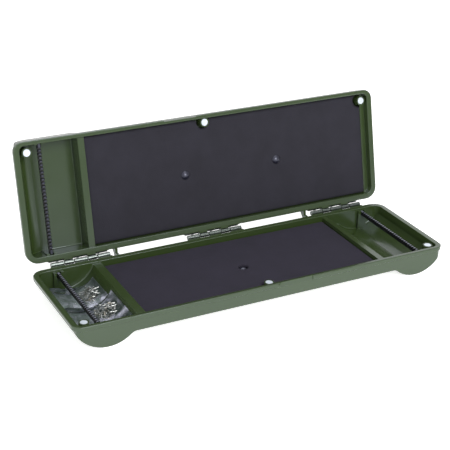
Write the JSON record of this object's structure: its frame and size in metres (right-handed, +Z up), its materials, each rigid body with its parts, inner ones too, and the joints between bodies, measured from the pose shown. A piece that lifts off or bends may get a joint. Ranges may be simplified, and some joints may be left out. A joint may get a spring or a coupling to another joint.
{
  "type": "fishing rig box",
  "caption": "Long flat hinged case for tied fishing rigs, with foam sheets, slotted combs over round-bottomed end troughs, magnetic closing and a lid that opens past upright.",
  "frame": {"origin": "on the surface it stands on, under the middle of the open box", "axes": "+X along the box, the lid compartment at -X; +Y from the opening edge to the hinges; +Z up"},
  "size_m": [0.3472, 0.1504, 0.1261],
  "materials": {
    "moulded_green": "fine satin moulded olive green",
    "foam": "matt dark grey closed-cell foam",
    "comb_rubber": "black moulded rubber",
    "magnet_nickel": "bright nickel plate",
    "hinge_steel": "bright rolled steel",
    "stud_plastic": "glossy black",
    "clear_film": "clear crinkled film over small metal pins"
  },
  "bodies": {
    "base": {"base_shell": "moulded_green", "base_foam": "foam", "base_comb_left": "comb_rubber", "base_comb_right": "comb_rubber", "base_magnet_left": "magnet_nickel", "base_magnet_centre": "magnet_nickel", "base_magnet_right": "magnet_nickel", "base_foam_stud": "stud_plastic", "front_pin_bag": "clear_film", "rear_pin_bag": "clear_film", "left_hinge_base_leaf": "hinge_steel", "left_hinge_pin": "hinge_steel", "left_hinge_base_rivet_1": "hinge_steel", "left_hinge_base_rivet_2": "hinge_steel", "left_hinge_base_rivet_3": "hinge_steel", "centre_hinge_base_leaf": "hinge_steel", "centre_hinge_pin": "hinge_steel", "centre_hinge_base_rivet_1": "hinge_steel", "centre_hinge_base_rivet_2": "hinge_steel", "centre_hinge_base_rivet_3": "hinge_steel", "right_hinge_base_leaf": "hinge_steel", "right_hinge_pin": "hinge_steel", "right_hinge_base_rivet_1": "hinge_steel", "right_hinge_base_rivet_2": "hinge_steel", "right_hinge_base_rivet_3": "hinge_steel"},
    "lid": {"lid_shell": "moulded_green", "lid_foam": "foam", "lid_comb": "comb_rubber", "lid_magnet_left": "magnet_nickel", "lid_magnet_centre": "magnet_nickel", "lid_magnet_right": "magnet_nickel", "lid_foam_stud_left": "stud_plastic", "lid_foam_stud_right": "stud_plastic", "left_hinge_lid_leaf": "hinge_steel", "left_hinge_lid_rivet_1": "hinge_steel", "left_hinge_lid_rivet_2": "hinge_steel", "left_hinge_lid_rivet_3": "hinge_steel", "centre_hinge_lid_leaf": "hinge_steel", "centre_hinge_lid_rivet_1": "hinge_steel", "centre_hinge_lid_rivet_2": "hinge_steel", "centre_hinge_lid_rivet_3": "hinge_steel", "right_hinge_lid_leaf": "hinge_steel", "right_hinge_lid_rivet_1": "hinge_steel", "right_hinge_lid_rivet_2": "hinge_steel", "right_hinge_lid_rivet_3": "hinge_steel"}
  },
  "joints": [
    {"name": "lid_hinge", "type": "hinge", "parent": "base", "child": "lid", "pos_m": [0, 0.03126, 0.02274], "axis": [1, 0, 0], "range_deg": [0, 103.5]}
  ]
}
